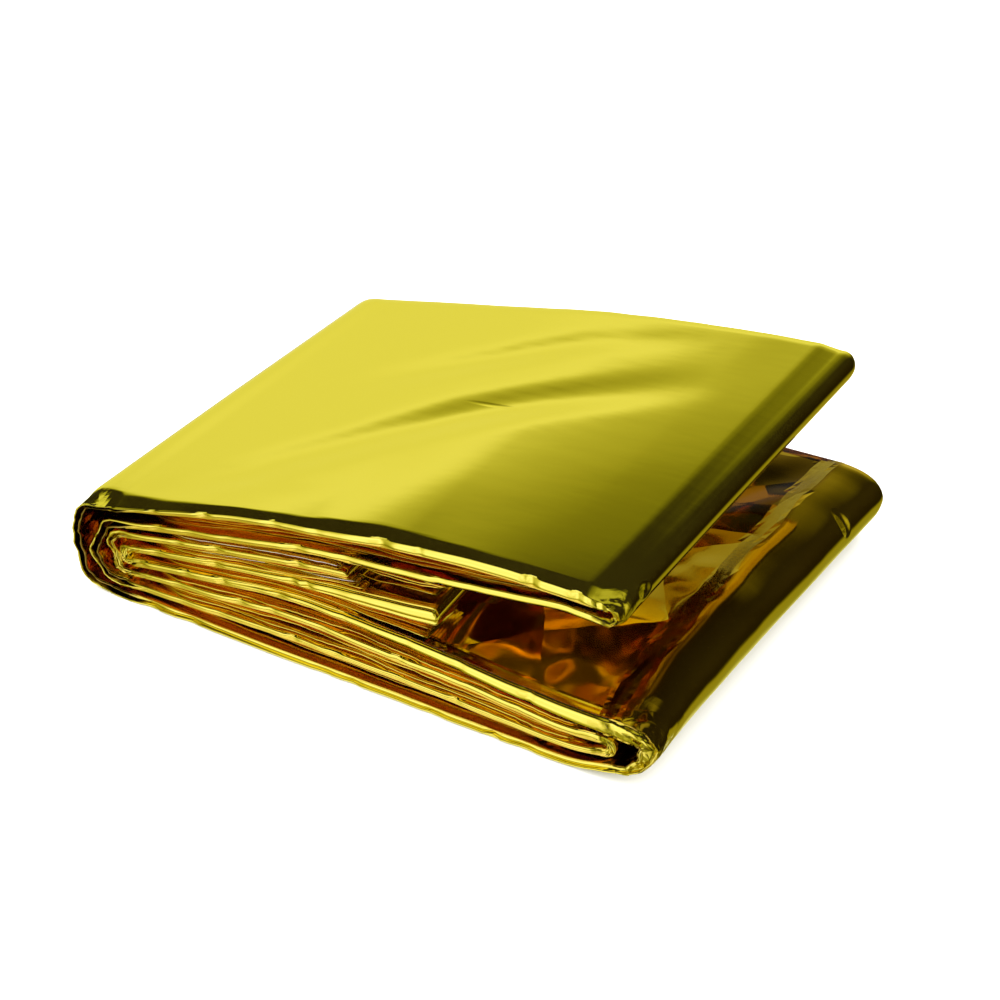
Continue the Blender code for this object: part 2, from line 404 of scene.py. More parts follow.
CREASES = (
    Crease("flap_top", (-46.0, -44.0), (8.0, 7.5), 10.0, 0.52),
    Crease("flap_top", (-15.0, -9.0), (31.0, 22.0), 10.0, 0.50),
    Crease("flap_top", (-32.0, 10.0), (4.0, 34.0), 8.0, 0.38),
    Crease("flap_top", (-8.0, 31.0), (24.0, 41.0), 6.5, 0.16),
    Crease("flap_top", (-44.0, -36.0), (-14.0, -37.0), 4.5, 0.16),
    Crease("flap_under", (-30.0, -20.0), (40.0, 10.0), 10.0, -0.30),
    Crease("pack_top", (22.0, -40.0), (48.0, 6.0), 7.0, 0.70),
    Crease("pack_top", (34.0, 12.0), (52.0, 44.0), 8.0, 0.60),
    Crease("pack_top", (52.0, -44.0), (57.0, 10.0), 5.0, -0.80),
    Crease("pack_top", (8.0, 20.0), (40.0, 30.0), 7.0, -0.50),
)

# Width of the flap's rounded front band, at places along x
BAND_WIDTH = (
    (-60.0, -52.0, -44.0, -34.0, -22.0, -12.0, -5.0, 6.0, 18.0, 32.0, 42.0, 56.0),
    (4.4, 3.4, 2.8, 2.0, 1.6, 1.5, 2.3, 2.6, 1.9, 1.4, 1.7, 2.3),
)

# Where the packet's top turns down at the mouth: places across it, and x there
RIDGE = (
    (-50.0, -43.0, -30.0, -18.0, -8.0, 5.0, 18.0, 30.0, 42.0, 50.0),
    (57.2, 56.2, 54.4, 54.8, 54.9, 53.6, 54.9, 54.0, 54.8, 55.2),
)

CROWN_OPENING = ((-22.0, 8.0, 36.0), (0.0, 0.45, 1.0))
ARCH_FADE = 0.8

# How far the flap's front rolls down and its back rolls up towards the rims, and over what depth
FRONT_ROLL = (0.70, 26.0)
BACK_ROLL = (0.40, 34.0)


@dataclass
class Strip:
    """Mid-line of the folded strip, for a set of places across the packet.

    Attributes:
        depth: Front rim to back rim.
        free_end: Length over which a free end thins.
    """

    depth: float = 100.0
    free_end: float = 0.9

    def height(self, panel: Panel, x: np.ndarray, cross: np.ndarray) -> np.ndarray:
        """Height of a panel's mid-line.

        Args:
            panel: The panel.
            x: Places along the packet.
            cross: Places across it, -1 at the front rim and 1 at the back.

        Returns:
            The height at each place.
        """
        front = smooth_through(KNOTS, panel.front, x)
        back = smooth_through(KNOTS, panel.back, x)
        share = ((1 + cross) / 2) ** ARCH_FADE
        opening = smooth_through(*CROWN_OPENING, np.clip(x, CROWN_OPENING[0][0], CROWN_OPENING[0][-1]))
        z = mix(front, back, share) + panel.crown * (1 - cross**2) * opening
        for crease in CREASES:
            if crease.panel == panel.name:
                z = z - crease.drop(x, cross * self.depth / 2)
        if panel is PANELS[FLAP_TOP]:
            along = ease(-30.0, -6.0, x) * (1 - ease(6.0, 34.0, x))
            z = z - depth_near((1 + cross) * self.depth / 2, FRONT_ROLL[1], FRONT_ROLL[0], 2.0) * along
            along = ease(-24.0, 0.0, x) * (1 - ease(34.0, 56.0, x))
            z = z + depth_near((1 - cross) * self.depth / 2, BACK_ROLL[1], BACK_ROLL[0], 2.0) * along
        return z

    def panel_run(self, panel: Panel, cross: np.ndarray, to_mouth: bool) -> dict[str, np.ndarray]:
        """Stations along a panel.

        Args:
            panel: The panel.
            cross: Places across the packet.
            to_mouth: Whether the strip runs towards the mouth there.

        Returns:
            Arrays by name: x, z and thick over cross and station; share over station.
        """
        steps = round((panel.mouth_front - panel.spine) / panel.step)
        share = np.linspace(0.0, 1.0, steps + 1)
        if not to_mouth:
            share = share[::-1]
        far = mix(panel.mouth_front, panel.mouth_back, (1 + cross) / 2)
        if panel is PANELS[PACK_TOP]:
            y = cross * self.depth / 2
            far = smooth_through(*RIDGE, y) + 0.35 * ripple(y, y * 0, 9.0, 21) * (1 - cross**8)
        x = mix(panel.spine, far[:, None], share[None, :])
        z = self.height(panel, x, cross[:, None] * np.ones_like(x))
        thick = panel.thickness(share)[None, :] * np.ones_like(x)
        return {"x": x, "z": z, "thick": thick, "share": share}

    def fold_run(self, fold: Fold, start: np.ndarray, end: np.ndarray, cross: np.ndarray, outward: int) -> dict:
        """Stations round a fold.

        Args:
            fold: The fold.
            start: x, z and thickness of the last station before it, for each place across.
            end: The same for the first station after it.
            cross: Places across the packet.
            outward: 1 at the mouth, -1 at the spine.

        Returns:
            Arrays by name: x, z and thick over cross and station; way over station.
        """
        rows = np.array(fold.bend.value)
        reach = mix(fold.front, fold.back, (1 + cross) / 2) * outward
        steps = np.arange(1, fold.steps) / fold.steps
        x = np.empty((len(cross), len(steps)))
        z = np.empty_like(x)
        thick = np.empty_like(x)
        ways = np.empty_like(x)
        for row in range(len(cross)):
            run = np.hypot(
                np.diff(rows[:, 0]) * (end[1][row] - start[1][row]),
                np.diff(rows[:, 1]) * reach[row],
            )
            lengths = np.concatenate([[0.0], np.cumsum(run)])
            at = lengths[-1] * steps
            if fold.bend.kinked:
                way = np.interp(at, lengths, rows[:, 0])
                out = np.interp(at, lengths, rows[:, 1])
            else:
                way = smooth_through(lengths, rows[:, 0], at)
                out = smooth_through(lengths, rows[:, 1], at)
            x[row] = mix(start[0][row], end[0][row], way**3) + reach[row] * out
            z[row] = mix(start[1][row], end[1][row], way)
            thick[row] = mix(start[2][row], end[2][row], way)
            ways[row] = way
        return {"x": x, "z": z, "thick": thick, "way": ways[0]}


def depth_near(distance: np.ndarray, width: float, depth: float, power: float) -> np.ndarray:
    """A fall that is deepest at a rim.

    Args:
        distance: Distance from the rim.
        width: Where the fall ends.
        depth: Its depth at the rim.
        power: How fast it deepens.

    Returns:
        The fall at each distance.
    """
    return depth * np.clip(1 - distance / width, 0, 1) ** power


def smooth_panel_share(share: np.ndarray) -> np.ndarray:
    """How far a front rim has gone from its spine outline to its mouth outline."""
    return ease(0.05, 0.62, share)


@dataclass
class FoilSheet:
    """The whole folded strip, as one closed mesh.

    Attributes:
        strip: The strip's mid-line.
        wander: How far the rims wander in and out.
        lobe_steps: Points on each lobe of the front rim.
        back_steps: Points round the back rim.
        channel_run: Length beside a spine fold over which its rim opens to a channel.
        front_round: How far the front rim's lobes stand out from the faces.
        back_round: How far the back rim bulges.
        nick_gap: Typical distance between crimps of the front rim.
        flat_size: Width and length of the strip when unfolded; not used.
    """

    strip: Strip = field(default_factory=Strip)
    wander: float = 0.35
    lobe_steps: int = 8
    back_steps: int = 11
    channel_run: float = 7.0
    front_round: float = 0.35
    back_round: float = 0.7
    nick_gap: float = 13.0
    flat_size: tuple[float, float] = (100.0, 880.0)

    def cross_shares(self) -> np.ndarray:
        """Places across the packet, close together at the rims.

        Returns:
            Shares from -1 at the front rim to 1 at the back.
        """
        half = self.strip.depth / 2
        front = [0.0, 0.35, 0.75, 1.2, 1.7, 2.3, 3.0, 3.8, 4.7, 5.8, 7.2, 9.0, 11.2]
        back = [0.0, 0.4, 0.9, 1.6, 2.6, 4.0, 6.0, 8.5]
        middle = np.linspace(front[-1], 2 * half - back[-1], 26)[1:-1]
        places = np.concatenate([front, middle, 2 * half - np.array(back[::-1])])
        return places / half - 1

    def stations(self, cross: np.ndarray) -> dict[str, np.ndarray]:
        """All stations of the strip from end to end.

        Args:
            cross: Places across the packet.

        Returns:
            Arrays by name, over cross and station or over station alone.
        """
        xs, zs, thicks = [], [], []
        rims, painted_bounce_ambers, insets, channels, homes, turns = [], [], [], [], [], []
        for place, panel in enumerate(PANELS):
            to_mouth = place % 2 == 1
            run = self.strip.panel_run(panel, cross, to_mouth)
            share = run["share"]
            blend = smooth_panel_share(share)[:, None, None]
            rim = mix(panel.rim_spine.numbers(not to_mouth), panel.rim_mouth.numbers(not to_mouth), blend)
            # Share of painted reflection tint for each face, set by how far into the folds it lies
            faces = (panel.painted_bounce_amber_top, panel.painted_bounce_amber_under) if to_mouth else (panel.painted_bounce_amber_under, panel.painted_bounce_amber_top)
            amber = np.tile(np.array(faces, float), (len(share), 1))
            length = panel.mouth_front - panel.spine
            at_spine = place if to_mouth else place + 1
            hollow = FOLDS[at_spine - 1].hollow if 0 < at_spine <= len(FOLDS) else 0.0
            channel = hollow * (1 - ease(0.0, self.channel_run, share * length))
            if place:
                outward = -1 if to_mouth else 1
                fold = FOLDS[place - 1]
                start = (xs[-1][:, -1], zs[-1][:, -1], thicks[-1][:, -1])
                end = (run["x"][:, 0], run["z"][:, 0], run["thick"][:, 0])
                turn = self.strip.fold_run(fold, start, end, cross, outward)
                way = turn["way"]
                xs.append(turn["x"])
                zs.append(turn["z"])
                thicks.append(turn["thick"])
                rims.append(mix(rims[-1][-1], rim[0], way[:, None, None]))
                painted_bounce_ambers.append(mix(painted_bounce_ambers[-1][-1], amber[0], way[:, None]))
                insets.append(mix(insets[-1][-1], panel.inset, way))
                channels.append(np.full(len(way), fold.hollow))
                homes.append(np.full(len(way), -place))
                turns.append(way)
            xs.append(run["x"])
            zs.append(run["z"])
            thicks.append(run["thick"])
            rims.append(rim)
            painted_bounce_ambers.append(amber)
            insets.append(np.full(len(share), panel.inset))
            channels.append(channel)
            homes.append(np.full(len(share), place + 1))
            turns.append(np.zeros(len(share)))
        line = {
            "x": np.concatenate(xs, axis=1),
            "z": np.concatenate(zs, axis=1),
            "thick": np.concatenate(thicks, axis=1),
            "rim": np.concatenate(rims),
            "amber": np.concatenate(painted_bounce_ambers),
            "inset": np.concatenate(insets),
            "channel": np.concatenate(channels),
            "home": np.concatenate(homes),
            "way": np.concatenate(turns),
        }
        return self.with_free_ends(line)

    def with_free_ends(self, line: dict[str, np.ndarray]) -> dict[str, np.ndarray]:
        """Adds the last stretch of each free end, over which the strip thins out.

        Args:
            line: The stations.

        Returns:
            The stations with two more at each end.
        """
        for share, thin in ((0.6, 0.86), (0.4, 0.35)):
            grown = {}
            for name, values in line.items():
                ends = []
                for index, toward in ((0, 1), (-1, -2)):
                    if name in ("x", "z"):
                        dx = line["x"][:, index] - line["x"][:, toward]
                        dz = line["z"][:, index] - line["z"][:, toward]
                        scale = self.free_step(share) / np.hypot(dx, dz)
                        ends.append((values[:, index] + (dx if name == "x" else dz) * scale)[:, None])
                    elif name == "thick":
                        ends.append((values[:, index] * thin)[:, None])
                    else:
                        ends.append(values[index][None])
                axis = 1 if name in ("x", "z", "thick") else 0
                grown[name] = np.concatenate([ends[0], values, ends[1]], axis=axis)
            line = grown
        return line

    def free_step(self, share: float) -> float:
        """Length of one step of a free end."""
        return self.strip.free_end * share

    def normals(self, line: dict[str, np.ndarray]) -> tuple[np.ndarray, np.ndarray]:
        """Unit vectors across the strip in the plane of its section.

        Args:
            line: The stations.

        Returns:
            Their x and z parts, over cross and station.
        """
        dx = np.gradient(line["x"], axis=1)
        dz = np.gradient(line["z"], axis=1)
        size = np.hypot(dx, dz)
        return -dz / size, dx / size

    def pillow(self, line: dict[str, np.ndarray], cross: np.ndarray, side: int) -> np.ndarray:
        """How far a face comes in towards the mid-line near the rims and the flap's tip.

        Args:
            line: The stations.
            cross: Places across the packet.
            side: 1 or -1 for the face.

        Returns:
            The distance, over cross and station.
        """
        from_front = (cross[:, None] + 1) * self.strip.depth / 2
        from_back = (1 - cross[:, None]) * self.strip.depth / 2
        home = line["home"][None, :]
        x = line["x"]
        tip = PANELS[FLAP_TOP].mouth_front
        way = line["way"][None, :]
        flap = ((home == FLAP_TOP + 1) | (home == -FLAP_TOP)) & (side < 0)
        edge = (home == -BASE) & (side < 0)
        floor = (home == PACK_TOP + 1) & (side < 0)
        plain = depth_near(from_front, 1.6, 0.30, 1.35) * (1 - line["channel"][None, :])
        plain = np.where(floor, depth_near(from_front, 1.2, 0.35, 1.35), plain)
        width = smooth_through(*BAND_WIDTH, np.clip(x, -60.0, 56.0))
        depth = 0.25 + 0.25 * width
        share = np.clip(1 - from_front / width, 0, 1)
        band = depth * share * ease(0.0, 0.35, share) ** 0.5
        on_edge = 1 - ease(0.03, 0.20, way)
        fall = np.where(flap, band, np.where(edge, mix(plain, band, on_edge), plain))
        fall = fall + 0.2 * np.clip(1 - from_back / 2.0, 0, 1) ** 1.6
        near_tip = np.clip(1 - (tip - x) / 4.6, 0, 1)
        on_fold = np.where(home == -FLAP_TOP, way, 1.0)
        fall = fall + np.where(flap, 0.80 * near_tip * ease(0.0, 0.4, near_tip) ** 0.5 * on_fold, 0.0)
        raised = np.where(flap, 0.25 * ease(-60.0, -20.0, x) * on_fold, 0.0)
        lip = (home == FLAP_TOP + 1) & (side > 0)
        raised = raised + np.where(lip, 0.55 * ease(-20.0, 8.0, x) * (1 - ease(0.5, 3.5, from_front)), 0.0)
        return fall - raised

    def surface(self) -> dict[str, np.ndarray]:
        """All points of the skin, ring by ring.

        Returns:
            Arrays by name: points over station, ring and axis, and the masks over station and ring.
        """
        cross = self.cross_shares()
        line = self.stations(cross)
        nx, nz = self.normals(line)
        count = line["x"].shape[1]
        arc = self.arc_lengths(line)
        half = self.strip.depth / 2 - line["inset"] - 0.6 * self.wander
        half = half + self.wander * ripple(arc, arc * 0, 40.0, 3) * 0.6
        half = half + 0.08 * ripple(arc, arc * 0, 9.0, 5)
        rows = []
        for side in (1, -1):
            face = line["thick"] / 2 - self.pillow(line, cross, side)
            x = line["x"] + side * nx * face
            z = line["z"] + side * nz * face
            y = mix(-(half - self.front_round), half - self.back_round, (1 + cross[:, None]) / 2)
            rows.append(np.stack([x, y, z], axis=-1))
        top, under = rows
        front = self.front_rim(line, top[0], under[0], half - self.nicks(arc))
        back = self.back_rim(top[-1], under[-1], half)
        ring = np.concatenate([top, back, under[::-1], front], axis=0)
        # Painted reflection tint: faces inside the folds get more of the bounce colour, standing in for light bounced
        # between the film; the front rim gets a quarter of it
        amber = np.concatenate(
            [
                np.repeat(line["amber"][:, 0][None], len(cross), axis=0),
                np.repeat(line["amber"].mean(axis=1)[None], len(back), axis=0),
                np.repeat(line["amber"][:, 1][None], len(cross), axis=0),
                np.repeat(0.25 * line["amber"].mean(axis=1)[None], len(front), axis=0),
            ]
        )
        rim = np.zeros((len(ring), count))
        rim[-len(front):] = 1.0
        home = np.repeat(line["home"][None], len(ring), axis=0)
        # Painted shade: darkens the inside of the packet's fold at the mouth, the rear of the packet's top near the
        # mouth, the ridge where it turns down, and the front rim in the spine folds' channels and round the mouth fold
        shade = np.zeros((len(ring), count))
        shade[: len(cross)] = np.where(line["home"] == -PACK_TOP, 0.75, 0.0)[None]
        lower = len(cross) + len(back)
        behind = ease(-30.0, -16.0, cross * self.strip.depth / 2)[:, None]
        open_top = np.where(line["home"] == PACK_TOP + 1, 0.93 * ease(33.0, 43.0, line["x"]) * behind, 0.0)
        ridge = np.where(line["home"] == -PACK_TOP, 0.6 * ease(0.80, 0.97, line["way"]), 0.0)
        open_top = np.maximum(open_top, ridge[None])[::-1]
        shade[lower : lower + len(cross)] = np.maximum(shade[lower : lower + len(cross)], open_top)
        shade[-len(front):] = line["channel"][None] * self.hollow_shade(line["home"])
        round_mouth = np.where(line["home"] == -PACK_TOP, 0.3 * np.sin(math.pi * line["way"]), 0.0)
        shade[-len(front):] = np.maximum(shade[-len(front):], round_mouth[None])
        return {
            "points": ring.transpose(1, 0, 2),
            "amber": amber.T,
            "rim": rim.T,
            "home": home.T,
            "shade": shade.T,
            "arc": arc,
        }

    def nicks(self, arc: np.ndarray) -> np.ndarray:
        """Small crimps along the front rim, at uneven places.

        Args:
            arc: Length along the strip at each station.

        Returns:
            How far each station's rim is pressed in.
        """
        chance = np.random.default_rng(8)
        total = np.zeros_like(arc)
        for place in np.arange(self.nick_gap, arc[-1], self.nick_gap):
            middle = place + chance.uniform(-0.45, 0.45) * self.nick_gap
            size = chance.uniform(0.1, 0.6)
            width = chance.uniform(0.9, 2.8)
            total += size * np.clip(1 - np.abs(arc - middle) / width, 0, 1)
        return total

    def hollow_shade(self, home: np.ndarray) -> np.ndarray:
        """How dark each lobe of the rim is in a spine fold's channel, darkest inside the fold.

        Args:
            home: Panel or fold of each station.

        Returns:
            The shade over rim place and station.
        """
        outer_first = np.repeat([0.15, 1.0, 0.85], self.lobe_steps)[:, None]
        inner_first = outer_first[::-1]
        turned = (home == -FLAP_UNDER) | (home == PACK_LOWER + 1) | (home == FLAP_UNDER + 1)
        return np.where(turned[None], inner_first, outer_first)

    def arc_lengths(self, line: dict[str, np.ndarray]) -> np.ndarray:
        """Length along the strip at each station, at its middle."""
        middle = line["x"].shape[0] // 2
        step = np.hypot(np.diff(line["x"][middle]), np.diff(line["z"][middle]))
        return np.concatenate([[0.0], np.cumsum(step)])

    def front_rim(self, line: dict, top: np.ndarray, under: np.ndarray, half: np.ndarray) -> np.ndarray:
        """Points of the lobed front rim, from the lower face to the upper one.

        Args:
            line: The stations.
            top: First row of points of the face on side 1.
            under: The same for the face on side -1.
            half: Distance of the rim line from the middle, at each station.

        Returns:
            Points over rim place, station and axis.
        """
        open_rim = CHANNEL_RIM.numbers(False)
        share = line["channel"][:, None, None]
        rim = mix(line["rim"], open_rim[None], share)
        heights = rim[:, 0, :]
        heights = heights / heights.sum(axis=1, keepdims=True)
        ends = np.cumsum(heights, axis=1)
        starts = ends - heights
        points = []
        for lobe in range(3):
            for step in range(self.lobe_steps):
                angle = math.pi * (step + 0.5) / self.lobe_steps
                across = starts[:, lobe] + heights[:, lobe] * (1 - math.cos(angle)) / 2
                out = rim[:, 1, lobe] * math.sin(angle) ** 0.6 - rim[:, 2, lobe]
                point = mix(top, under, across[:, None])
                point = point.copy()
                point[:, 1] = -(half - self.front_round + out)
                points.append(point)
        return np.array(points)[::-1]

    def back_rim(self, top: np.ndarray, under: np.ndarray, half: np.ndarray) -> np.ndarray:
        """Points of the rounded back rim, from side 1 to side -1.

        Args:
            top: Last row of points of the face on side 1.
            under: The same for the face on side -1.
            half: Distance of the rim line from the middle, at each station.

        Returns:
            Points over rim place, station and axis.
        """
        points = []
        for step in range(self.back_steps):
            angle = math.pi * (step + 0.5) / self.back_steps
            point = mix(top, under, (1 - math.cos(angle)) / 2)
            point[:, 1] = half - self.back_round + self.back_round * math.sin(angle)
            points.append(point)
        return np.array(points)

    def build(self) -> bpy.types.Object:
        """Makes the mesh of the whole strip.

        Returns:
            The object.
        """
        skin = self.surface()
        points = skin["points"]
        rings, around, _ = points.shape
        work = self.crumpled(skin)
        corner = np.arange(rings * around).reshape(rings, around)
        following = np.roll(corner, -1, axis=1)
        quads = np.stack([corner[:-1], following[:-1], following[1:], corner[1:]], axis=-1).reshape(-1, 4)
        faces = [tuple(quad) for quad in quads.tolist()]
        faces.append(tuple(corner[0][::-1].tolist()))
        faces.append(tuple(corner[-1].tolist()))
        mesh = bpy.data.meshes.new("foil_sheet")
        mesh.from_pydata((work.reshape(-1, 3) * MM).tolist(), [], faces)
        for name in ("amber", "rim", "crumple", "crinkle", "silver", "shade"):
            values = skin[name] if name in skin else np.zeros((rings, around))
            layer = mesh.attributes.new(name, "FLOAT", "POINT")
            layer.data.foreach_set("value", values.reshape(-1).astype(np.float32))
        mesh.update()
        mesh.validate()
        mesh.shade_smooth()
        sheet = bpy.data.objects.new("foil_sheet", mesh)
        bpy.context.scene.collection.objects.link(sheet)
        return sheet

    def crumpled(self, skin: dict[str, np.ndarray]) -> np.ndarray:
        """Adds the unevenness and the crumpled corners, and fills in their masks.

        Args:
            skin: The skin's points and masks, which gains the masks crumple, crinkle (relief, and painted orange
                reflection) and silver.

        Returns:
            The points in the frame's place.
        """
        points = skin["points"].copy()
        x, y, z = points[..., 0], points[..., 1], points[..., 2]
        home = skin["home"]
        corners = np.zeros_like(x)
        for place, radius, strength in CRUMPLED_CORNERS:
            away = np.sqrt((x - place[0]) ** 2 + (y - place[1]) ** 2 + (z - place[2]) ** 2)
            corners = np.maximum(corners, strength * (1 - ease(0.35 * radius, radius, away)))
        skin["crumple"] = corners
        facet = facets(x + 0.3 * z, z * 1.1 + y * 0.8, 3.2, 11) - 0.45
        other = facets(x * 0.9 - 0.4 * y, z + 0.5 * x, 2.6, 12) - 0.45
        points[..., 0] += other * corners * 0.9
        points[..., 1] += -facet * corners * 1.5
        points[..., 2] += facet * corners * 0.7
        # Mask for the inside of the mouth and the spine face: it adds fine relief, and paints the orange reflection of
        # light bounced round the mouth into the colour
        inner = (home == 7) | (home == 4)
        crinkle = np.where(inner, ease(-5.0, 15.0, x), 0.0) * ease(0.0, 2.5, y + self.strip.depth / 2)
        crinkle = crinkle * (1 - ease(51.0, 54.5, x))
        spine_face = 0.3 * ease(8.0, 20.0, y + self.strip.depth / 2) * ease(1.0, 5.0, z) * (1 - ease(9.0, 16.0, z))
        crinkle = np.where(home == -BASE, spine_face, crinkle)
        skin["crinkle"] = crinkle * (1 - skin["rim"]) * ease(0.5, 3.0, self.strip.depth / 2 - y)
        skin["silver"] = np.zeros_like(x)
        points[..., 0] += FRAME_SHIFT
        return points


# Place, radius and strength of each crumpled corner
CRUMPLED_CORNERS = (
    ((54.0, -50.0, 36.5), 5.5, 1.0),
    ((60.0, -50.0, 8.0), 12.0, 0.9),
    ((-56.0, -50.0, 9.0), 8.0, 1.0),
    ((-62.5, -50.0, 22.0), 5.0, 0.9),
    ((-65.0, -50.0, 12.0), 8.0, 0.7),
    ((-60.0, -50.0, 2.0), 7.0, 0.8),
)


@dataclass(frozen=True)
class Ply:
    """One thin ply whose folded edge shows at a rim, between two panels.

    Attributes:
        above: Index in PANELS of the panel over it.
        below: Index of the panel under it.
        level: Its height between them, 0 at the lower one and 1 at the upper one.
        start: x of its end towards the spine.
        end: x of its end towards the mouth.
        recess: How far its edge stands in from the rim.
        thick: Height of its folded edge.
        silver: 1 where its silver side shows.
    """

    above: int
    below: int
    level: float
    start: float
    end: float
    recess: float
    thick: float
    silver: float = 0.0


PLIES = (
    Ply(FLAP_TOP, FLAP_UNDER, 0.08, -50.0, 51.0, 1.8, 0.14),
    Ply(FLAP_TOP, FLAP_UNDER, 0.20, -46.0, 50.0, 2.4, 0.16),
    Ply(FLAP_TOP, FLAP_UNDER, 0.34, -50.0, 50.5, 2.9, 0.13),
    Ply(FLAP_TOP, FLAP_UNDER, 0.46, -40.0, 49.0, 3.4, 0.16),
    Ply(FLAP_TOP, FLAP_UNDER, 0.60, -47.0, 50.0, 3.9, 0.13),
    Ply(FLAP_TOP, FLAP_UNDER, 0.74, -44.0, 51.0, 4.4, 0.15),
    Ply(FLAP_TOP, FLAP_UNDER, 0.88, -50.0, 49.0, 3.4, 0.14),
    Ply(FLAP_UNDER, INNER_END, 0.16, -46.0, -3.0, 1.3, 0.34, 0.8),
    Ply(FLAP_UNDER, INNER_END, 0.55, -40.0, -6.0, 2.6, 0.16),
    Ply(FLAP_UNDER, INNER_END, 0.84, -48.0, -5.0, 2.4, 0.16),
    Ply(FLAP_UNDER, OUTER_END, 0.80, -9.0, 19.5, 2.2, 0.36),
    Ply(FLAP_UNDER, OUTER_END, 0.62, -4.0, 19.0, 2.8, 0.30),
    Ply(FLAP_UNDER, OUTER_END, 0.44, -3.0, 17.5, 3.4, 0.34),
    Ply(FLAP_UNDER, OUTER_END, 0.24, -3.0, 17.0, 2.6, 0.26),
    Ply(INNER_END, OUTER_END, 0.20, -50.0, 2.5, 0.9, 0.40),
    Ply(INNER_END, OUTER_END, 0.45, -46.0, 0.5, 1.7, 0.24, 0.8),
    Ply(INNER_END, OUTER_END, 0.72, -50.0, -1.0, 1.5, 0.30),
    Ply(OUTER_END, PACK_TOP, 0.12, -48.0, 16.0, 1.0, 0.34),
    Ply(OUTER_END, PACK_TOP, 0.32, -50.0, 16.0, 2.2, 0.16),
    Ply(OUTER_END, PACK_TOP, 0.52, -44.0, 15.0, 2.8, 0.16),
    Ply(OUTER_END, PACK_TOP, 0.72, -46.0, 16.0, 3.4, 0.14),
    Ply(OUTER_END, PACK_TOP, 0.88, -50.0, 14.0, 2.4, 0.20),
    Ply(PACK_TOP, PACK_UPPER, 0.12, -48.0, 47.0, 0.7, 0.44),
    Ply(PACK_TOP, PACK_UPPER, 0.34, -46.0, 50.0, 2.4, 0.16),
    Ply(PACK_TOP, PACK_UPPER, 0.52, -50.0, 44.0, 3.0, 0.14),
    Ply(PACK_TOP, PACK_UPPER, 0.70, -42.0, 48.0, 3.5, 0.16),
    Ply(PACK_TOP, PACK_UPPER, 0.88, -50.0, 46.0, 2.6, 0.16),
    Ply(PACK_UPPER, PACK_LOWER, 0.16, -48.0, 46.0, 0.8, 0.46),
    Ply(PACK_UPPER, PACK_LOWER, 0.45, -50.0, 48.0, 1.5, 0.40),
    Ply(PACK_UPPER, PACK_LOWER, 0.78, -44.0, 44.0, 2.0, 0.24),
    Ply(PACK_LOWER, BASE, 0.20, -50.0, 38.0, 2.6, 0.20),
    Ply(PACK_LOWER, BASE, 0.50, -46.0, 34.0, 3.2, 0.16),
    Ply(PACK_LOWER, BASE, 0.80, -50.0, 36.0, 3.6, 0.16),
)


